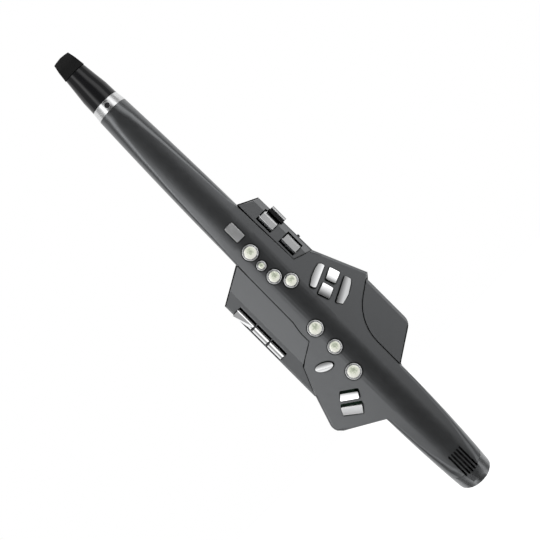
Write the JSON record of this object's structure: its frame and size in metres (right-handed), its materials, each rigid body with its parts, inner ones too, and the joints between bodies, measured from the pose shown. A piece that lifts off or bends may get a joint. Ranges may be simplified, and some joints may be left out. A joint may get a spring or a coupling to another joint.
{
  "type": "digital wind controller",
  "caption": "Handheld electronic wind instrument: horn-shaped body with bell, key wings, pearl and plate keys, bent neck with mouthpiece, rear thumb hook and strap eye.",
  "frame": {"origin": "centre of the strap eye's hole on the back of the body", "axes": "+Z along the body towards the mouthpiece, +Y out of the back (the keys face -Y), +X to the right as seen from the key side"},
  "size_m": [0.1294, 0.0928, 0.5733],
  "materials": {
    "front_shell": "satin moulding",
    "rear_shell": "fine grained moulding",
    "left_panel": "satin moulding",
    "right_panel": "satin moulding",
    "cap_shell": "satin moulding",
    "chrome": "bright plated",
    "nacre": "pearl with a gloss",
    "gloss_black": "polished",
    "soft_black": "matte",
    "black_plastic": "fine grained",
    "board": "board with lacquer",
    "tube": "silicone",
    "steel": "plain",
    "cell": "printed sleeve",
    "window": "tinted"
  },
  "bodies": {
    "case": {"front_cover": "front_shell", "rear_cover": "rear_shell", "left_side_panel": "left_panel", "right_side_panel": "right_panel", "palm_key_panel": "right_panel", "end_cap": "cap_shell", "neck_ring": "chrome", "tenon_seal": "soft_black", "breath_tube": "tube", "main_board": "board", "key_board": "board", "speaker": "black_plastic", "battery_holder": "black_plastic", "batteries": "cell", "strap_eye": "steel", "thumb_rest": "soft_black", "thumb_hook": "black_plastic", "display_window": "window", "phones_jack": "black_plastic", "usb_port": "steel", "case_screws": "steel", "pivot_rods": "steel"},
    "mouthpiece": {"mouthpiece": "gloss_black", "bite_pad": "soft_black", "reed": "gloss_black"},
    "battery_door": {"battery_cover": "rear_shell"},
    "b_button": {"b_key": "chrome", "b_pearl": "nacre"},
    "bis_button": {"bis_key": "chrome", "bis_pearl": "nacre"},
    "a_button": {"a_key": "chrome", "a_pearl": "nacre"},
    "g_button": {"g_key": "chrome", "g_pearl": "nacre"},
    "f_button": {"f_key": "chrome", "f_pearl": "nacre"},
    "e_button": {"e_key": "chrome", "e_pearl": "nacre"},
    "d_button": {"d_key": "chrome", "d_pearl": "nacre"},
    "front_f_plate": {"front_f_key": "chrome"},
    "table_gs_plate": {"table_gs_key": "chrome"},
    "table_cs_plate": {"table_cs_key": "chrome"},
    "table_b_plate": {"table_b_key": "chrome"},
    "table_bb_plate": {"table_bb_key": "chrome"},
    "pinky_eb_plate": {"pinky_eb_key": "chrome"},
    "pinky_c_plate": {"pinky_c_key": "chrome"},
    "high_fs_plate": {"high_fs_key": "chrome"},
    "side_e_lever": {"side_e_key": "chrome"},
    "side_c_lever": {"side_c_key": "chrome"},
    "side_bb_lever": {"side_bb_key": "chrome"},
    "palm_d_lever": {"palm_d_key": "chrome"},
    "palm_eb_lever": {"palm_eb_key": "chrome"},
    "palm_f_push": {"palm_f_key": "chrome"},
    "octave_up_button": {"octave_up_key": "chrome"},
    "octave_down_button": {"octave_down_key": "chrome"},
    "bend_lever": {"thumb_lever": "black_plastic"},
    "knob": {"volume_knob": "black_plastic"},
    "rocker": {"value_rocker": "black_plastic"},
    "switch": {"power_switch": "black_plastic"}
  },
  "joints": [
    {"name": "b_press", "type": "slide", "parent": "case", "child": "b_button", "axis": [0, 1, 0], "range_m": [0, 0.0018], "stiffness_N_per_m": 300, "springref_m": -0.001},
    {"name": "bis_press", "type": "slide", "parent": "case", "child": "bis_button", "axis": [0, 1, 0], "range_m": [0, 0.0018], "stiffness_N_per_m": 300, "springref_m": -0.001},
    {"name": "a_press", "type": "slide", "parent": "case", "child": "a_button", "axis": [0, 1, 0], "range_m": [0, 0.0018], "stiffness_N_per_m": 300, "springref_m": -0.001},
    {"name": "g_press", "type": "slide", "parent": "case", "child": "g_button", "axis": [0, 1, 0], "range_m": [0, 0.0018], "stiffness_N_per_m": 300, "springref_m": -0.001},
    {"name": "f_press", "type": "slide", "parent": "case", "child": "f_button", "axis": [0, 1, 0], "range_m": [0, 0.0018], "stiffness_N_per_m": 300, "springref_m": -0.001},
    {"name": "e_press", "type": "slide", "parent": "case", "child": "e_button", "axis": [0, 1, 0], "range_m": [0, 0.0018], "stiffness_N_per_m": 300, "springref_m": -0.001},
    {"name": "d_press", "type": "slide", "parent": "case", "child": "d_button", "axis": [0, 1, 0], "range_m": [0, 0.0018], "stiffness_N_per_m": 300, "springref_m": -0.001},
    {"name": "front_f_press", "type": "slide", "parent": "case", "child": "front_f_plate", "axis": [0, 1, 0], "range_m": [0, 0.0015], "stiffness_N_per_m": 300, "springref_m": -0.001},
    {"name": "table_gs_press", "type": "slide", "parent": "case", "child": "table_gs_plate", "axis": [-0.2588, 0.9659, 0], "range_m": [0, 0.0015], "stiffness_N_per_m": 300, "springref_m": -0.001},
    {"name": "table_cs_press", "type": "slide", "parent": "case", "child": "table_cs_plate", "axis": [-0.2588, 0.9659, 0], "range_m": [0, 0.0015], "stiffness_N_per_m": 300, "springref_m": -0.001},
    {"name": "table_b_press", "type": "slide", "parent": "case", "child": "table_b_plate", "axis": [-0.2588, 0.9659, 0], "range_m": [0, 0.0015], "stiffness_N_per_m": 300, "springref_m": -0.001},
    {"name": "table_bb_press", "type": "slide", "parent": "case", "child": "table_bb_plate", "axis": [-0.2588, 0.9659, 0], "range_m": [0, 0.0015], "stiffness_N_per_m": 300, "springref_m": -0.001},
    {"name": "pinky_eb_press", "type": "slide", "parent": "case", "child": "pinky_eb_plate", "axis": [0.2588, 0.9659, 0], "range_m": [0, 0.0015], "stiffness_N_per_m": 300, "springref_m": -0.001},
    {"name": "pinky_c_press", "type": "slide", "parent": "case", "child": "pinky_c_plate", "axis": [0.2588, 0.9659, 0], "range_m": [0, 0.0015], "stiffness_N_per_m": 300, "springref_m": -0.001},
    {"name": "high_fs_press", "type": "slide", "parent": "case", "child": "high_fs_plate", "axis": [0.2588, 0.9659, 0], "range_m": [0, 0.0015], "stiffness_N_per_m": 300, "springref_m": -0.001},
    {"name": "side_e_turn", "type": "hinge", "parent": "case", "child": "side_e_lever", "pos_m": [-0.0503, -0.0408, 0.0086], "axis": [0, 0, 1], "range_deg": [0, 6], "stiffness_Nm_per_rad": 0.08, "springref_deg": -2.86},
    {"name": "side_c_turn", "type": "hinge", "parent": "case", "child": "side_c_lever", "pos_m": [-0.0503, -0.0408, -0.0133], "axis": [0, 0, 1], "range_deg": [0, 6], "stiffness_Nm_per_rad": 0.08, "springref_deg": -2.86},
    {"name": "side_bb_turn", "type": "hinge", "parent": "case", "child": "side_bb_lever", "pos_m": [-0.0503, -0.0408, -0.0335], "axis": [0, 0, 1], "range_deg": [0, 6], "stiffness_Nm_per_rad": 0.08, "springref_deg": -2.86},
    {"name": "palm_d_turn", "type": "hinge", "parent": "case", "child": "palm_d_lever", "pos_m": [0.0279, -0.0454, 0.0287], "axis": [0, 0, 1], "range_deg": [0, 6], "stiffness_Nm_per_rad": 0.08, "springref_deg": -2.86},
    {"name": "palm_eb_turn", "type": "hinge", "parent": "case", "child": "palm_eb_lever", "pos_m": [0.0279, -0.0454, 0.0594], "axis": [0, 0, 1], "range_deg": [0, 6], "stiffness_Nm_per_rad": 0.08, "springref_deg": -2.86},
    {"name": "palm_f_press", "type": "slide", "parent": "case", "child": "palm_f_push", "axis": [-1, 0, 0], "range_m": [0, 0.001], "stiffness_N_per_m": 300, "springref_m": -0.001},
    {"name": "octave_up_press", "type": "slide", "parent": "case", "child": "octave_up_button", "axis": [0, -1, 0], "range_m": [0, 0.0015], "stiffness_N_per_m": 300, "springref_m": -0.001},
    {"name": "octave_down_press", "type": "slide", "parent": "case", "child": "octave_down_button", "axis": [0, -1, 0], "range_m": [0, 0.0015], "stiffness_N_per_m": 300, "springref_m": -0.001},
    {"name": "bend_lever_turn", "type": "hinge", "parent": "case", "child": "bend_lever", "pos_m": [0, -0.0104, -0.0515], "axis": [1, 0, 0], "range_deg": [-12, 12], "stiffness_Nm_per_rad": 0.08},
    {"name": "volume_turn", "type": "hinge", "parent": "case", "child": "knob", "pos_m": [0.04, -0.019, -0.076], "axis": [0.342, 0.9397, 0], "range_deg": [-150, 150]},
    {"name": "value_rock", "type": "hinge", "parent": "case", "child": "rocker", "pos_m": [0.03897, -0.02181, -0.047], "axis": [-0.9397, 0.342, 0], "range_deg": [-4, 4], "stiffness_Nm_per_rad": 0.08},
    {"name": "power_slide", "type": "slide", "parent": "case", "child": "switch", "axis": [0, 0, 1], "range_m": [-0.002, 0.002]},
    {"name": "mouthpiece_slide", "type": "slide", "parent": "case", "child": "mouthpiece", "axis": [0, 0.1478, 0.989], "range_m": [0, 0.03]},
    {"name": "battery_door_slide", "type": "slide", "parent": "case", "child": "battery_door", "axis": [0, 1, 0], "range_m": [0, 0.03]}
  ]
}
